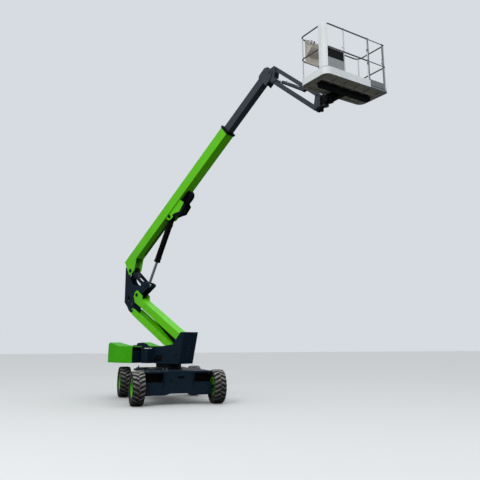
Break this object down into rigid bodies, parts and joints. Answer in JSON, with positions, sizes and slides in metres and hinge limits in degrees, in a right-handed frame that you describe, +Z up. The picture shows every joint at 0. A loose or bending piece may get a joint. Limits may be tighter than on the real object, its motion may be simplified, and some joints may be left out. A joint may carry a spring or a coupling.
{
  "type": "articulating boom lift",
  "caption": "Self-propelled articulating boom lift: parallelogram tower, telescoping upper boom, levelling jib and railed work platform on a wheeled chassis",
  "frame": {"origin": "on the floor under the slewing axis", "axes": "+X towards the drive axle's end of the chassis, +Y to the left, +Z up; the booms are slewed 29.5 degrees to the left of +X"},
  "size_m": [7.8386, 5.3064, 8.4859],
  "materials": {
    "lime_paint": "semi-gloss lime green paint, dusty low down",
    "dark_paint": "dark blue-grey paint, worn at edges",
    "slate_paint": "slate grey satin paint",
    "pale_paint": "light grey paint, slightly mottled",
    "black_paint": "black gloss paint",
    "chrome_rod": "hard chrome plating",
    "tyre_rubber": "matte dark grey rubber, lug tops worn",
    "cast": "cast iron under dark paint",
    "black_plastic": "matte black plastic",
    "alloy": "plain aluminium sheet and sections",
    "lime_plastic": "moulded hood in lime green, top face paler in light"
  },
  "bodies": {
    "chassis": {"chassis_frame": "dark_paint", "steer_axle": "dark_paint", "slew_ring": "dark_paint"},
    "steer_left": {"steering_knuckle_left": "dark_paint"},
    "steer_right": {"steering_knuckle_right": "dark_paint"},
    "turntable": {"turntable_frame": "dark_paint", "hood_bays": "dark_paint", "power_blocks": "alloy", "counterweight": "cast", "ground_controls": "alloy"},
    "hood_left_lid": {"hood_left": "lime_plastic"},
    "hood_right_lid": {"hood_right": "lime_plastic"},
    "tower_top_link": {"tower_upper_arm": "lime_paint"},
    "tower_low_link": {"tower_lower_arm": "lime_paint"},
    "riser_frame": {"riser": "dark_paint"},
    "tower_barrel": {"tower_cylinder_barrel": "black_paint"},
    "tower_rod": {"tower_cylinder_rod": "chrome_rod"},
    "boom": {"main_boom": "lime_paint", "boom_collar": "dark_paint", "hose_carrier": "black_plastic"},
    "lift_barrel": {"lift_cylinder_barrel": "black_paint"},
    "lift_rod": {"lift_cylinder_rod": "chrome_rod"},
    "fly": {"fly_boom": "slate_paint", "fly_head": "slate_paint"},
    "jib_head": {"jib_bracket": "slate_paint"},
    "jib_top_link": {"jib_upper_arm": "slate_paint"},
    "jib_low_link": {"jib_lower_arm": "slate_paint"},
    "jib_barrel": {"jib_cylinder_barrel": "black_paint"},
    "jib_rod": {"jib_cylinder_rod": "chrome_rod"},
    "jib_end": {"jib_end_bracket": "slate_paint"},
    "platform": {"platform_rotator": "black_paint", "platform_floor": "alloy", "platform_toe_boards": "pale_paint", "platform_rails": "pale_paint", "platform_panels": "pale_paint", "platform_console": "alloy"},
    "gate": {"platform_gate": "pale_paint"},
    "wheel_drive_left": {"tyre_drive_left": "tyre_rubber", "rim_drive_left": "lime_paint"},
    "wheel_drive_right": {"tyre_drive_right": "tyre_rubber", "rim_drive_right": "lime_paint"},
    "wheel_steer_left": {"tyre_steer_left": "tyre_rubber", "rim_steer_left": "lime_paint"},
    "wheel_steer_right": {"tyre_steer_right": "tyre_rubber", "rim_steer_right": "lime_paint"}
  },
  "joints": [
    {"name": "steer_left_pivot", "type": "hinge", "parent": "chassis", "child": "steer_left", "pos_m": [-1.2, 0.79, 0.415], "axis": [0, 0, 1], "range_deg": [-28, 28]},
    {"name": "steer_right_pivot", "type": "hinge", "parent": "chassis", "child": "steer_right", "pos_m": [-1.2, -0.79, 0.415], "axis": [0, 0, 1], "range_deg": [-28.01, 28.01]},
    {"name": "wheel_drive_left_spin", "type": "hinge", "parent": "chassis", "child": "wheel_drive_left", "pos_m": [1.2, 1.02, 0.415], "axis": [0, 1, 0], "continuous": true},
    {"name": "wheel_drive_right_spin", "type": "hinge", "parent": "chassis", "child": "wheel_drive_right", "pos_m": [1.2, -1.02, 0.415], "axis": [0, 1, 0], "continuous": true},
    {"name": "wheel_steer_left_spin", "type": "hinge", "parent": "steer_left", "child": "wheel_steer_left", "pos_m": [-1.2, 1.02, 0.415], "axis": [0, 1, 0], "continuous": true},
    {"name": "wheel_steer_right_spin", "type": "hinge", "parent": "steer_right", "child": "wheel_steer_right", "pos_m": [-1.2, -1.02, 0.415], "axis": [0, 1, 0], "continuous": true},
    {"name": "slew", "type": "hinge", "parent": "chassis", "child": "turntable", "pos_m": [0, 0, 0.95], "axis": [0, 0, 1], "continuous": true},
    {"name": "hood_left_hinge", "type": "hinge", "parent": "turntable", "child": "hood_left_lid", "pos_m": [-1.2654, -0.40341, 1.41], "axis": [0.8704, 0.4924, 0], "range_deg": [0, 55]},
    {"name": "hood_right_hinge", "type": "hinge", "parent": "turntable", "child": "hood_right_lid", "pos_m": [-0.99752, -0.87689, 1.41], "axis": [-0.8704, -0.4924, 0], "range_deg": [0, 55]},
    {"name": "tower_raise", "type": "hinge", "parent": "turntable", "child": "tower_top_link", "pos_m": [0.64406, 0.36439, 1.65], "axis": [-0.4924, 0.8704, 0], "range_deg": [-28.3, 37.7]},
    {"name": "tower_low_follow", "type": "hinge", "parent": "turntable", "child": "tower_low_link", "pos_m": [0.46999, 0.26591, 1.2], "axis": [-0.4924, 0.8704, 0], "range_deg": [-28.31, 37.71]},
    {"name": "riser_level", "type": "hinge", "parent": "tower_top_link", "child": "riser_frame", "pos_m": [-1.15794, -0.65513, 2.85986], "axis": [-0.4924, 0.8704, 0], "range_deg": [-37.71, 28.31]},
    {"name": "tower_barrel_pivot", "type": "hinge", "parent": "turntable", "child": "tower_barrel", "pos_m": [0.39166, 0.22159, 1.37], "axis": [-0.4924, 0.8704, 0], "range_deg": [-28.88, 38.47]},
    {"name": "tower_rod_slide", "type": "slide", "parent": "tower_barrel", "child": "tower_rod", "axis": [-0.698, -0.3949, 0.5973], "range_m": [-0.18813, 0.25029]},
    {"name": "boom_raise", "type": "hinge", "parent": "riser_frame", "child": "boom", "pos_m": [-1.47127, -0.8324, 3.59986], "axis": [0.4924, -0.8704, 0], "range_deg": [-47.5, 35.5]},
    {"name": "lift_barrel_pivot", "type": "hinge", "parent": "boom", "child": "lift_barrel", "pos_m": [-0.01592, -0.00901, 5.03009], "axis": [0.4924, -0.8704, 0], "range_deg": [-1.07, 1.44]},
    {"name": "lift_rod_slide", "type": "slide", "parent": "lift_barrel", "child": "lift_rod", "axis": [-0.3915, -0.2215, -0.8931], "range_m": [-0.64883, 0.48517]},
    {"name": "fly_slide", "type": "slide", "parent": "boom", "child": "fly", "axis": [0.6716, 0.38, 0.6361], "range_m": [-1.6, 0.25]},
    {"name": "platform_level", "type": "hinge", "parent": "fly", "child": "jib_head", "pos_m": [3.2317, 1.82841, 8.3328], "axis": [0.4924, -0.8704, 0], "range_deg": [-35.51, 47.51]},
    {"name": "jib_lower", "type": "hinge", "parent": "jib_head", "child": "jib_top_link", "pos_m": [3.35965, 1.9008, 8.3998], "axis": [-0.4924, 0.8704, 0], "range_deg": [-101.5, 23.5]},
    {"name": "jib_low_follow", "type": "hinge", "parent": "jib_head", "child": "jib_low_link", "pos_m": [3.30743, 1.87125, 8.0598], "axis": [-0.4924, 0.8704, 0], "range_deg": [-101.51, 23.51]},
    {"name": "jib_end_level", "type": "hinge", "parent": "jib_top_link", "child": "jib_end", "pos_m": [4.48084, 2.53514, 7.26009], "axis": [-0.4924, 0.8704, 0], "range_deg": [-23.51, 101.51]},
    {"name": "jib_barrel_pivot", "type": "hinge", "parent": "jib_top_link", "child": "jib_barrel", "pos_m": [4.09574, 2.31726, 7.54474], "axis": [-0.4924, 0.8704, 0], "range_deg": [-1.02, 0.24]},
    {"name": "jib_rod_slide", "type": "slide", "parent": "jib_barrel", "child": "jib_rod", "axis": [-0.7294, -0.4127, 0.5456], "range_m": [-0.11815, 0.50697]},
    {"name": "platform_turn", "type": "hinge", "parent": "jib_end", "child": "platform", "pos_m": [4.6288, 2.61885, 7.13209], "axis": [0, 0, 1], "range_deg": [-65, 95]},
    {"name": "gate_swing", "type": "hinge", "parent": "platform", "child": "gate", "pos_m": [5.57621, 3.23778, 7.73209], "axis": [0, 0, 1], "range_deg": [0, 85]}
  ],
  "couplings": [
    {"joint": "steer_right_pivot", "follows": "steer_left_pivot", "ratio": 1},
    {"joint": "tower_low_follow", "follows": "tower_raise", "ratio": 1},
    {"joint": "riser_level", "follows": "tower_raise", "ratio": -1},
    {"joint": "tower_barrel_pivot", "follows": "tower_raise", "ratio": 1.0202},
    {"joint": "tower_rod_slide", "follows": "tower_raise", "m_per_rad": 0.37887},
    {"joint": "lift_barrel_pivot", "follows": "boom_raise", "ratio": -0.03},
    {"joint": "lift_rod_slide", "follows": "boom_raise", "m_per_rad": 0.78143},
    {"joint": "platform_level", "follows": "boom_raise", "ratio": -1},
    {"joint": "jib_low_follow", "follows": "jib_lower", "ratio": 1},
    {"joint": "jib_end_level", "follows": "jib_lower", "ratio": -1},
    {"joint": "jib_barrel_pivot", "follows": "jib_lower", "ratio": 0.01},
    {"joint": "jib_rod_slide", "follows": "jib_lower", "m_per_rad": -0.28561}
  ]
}
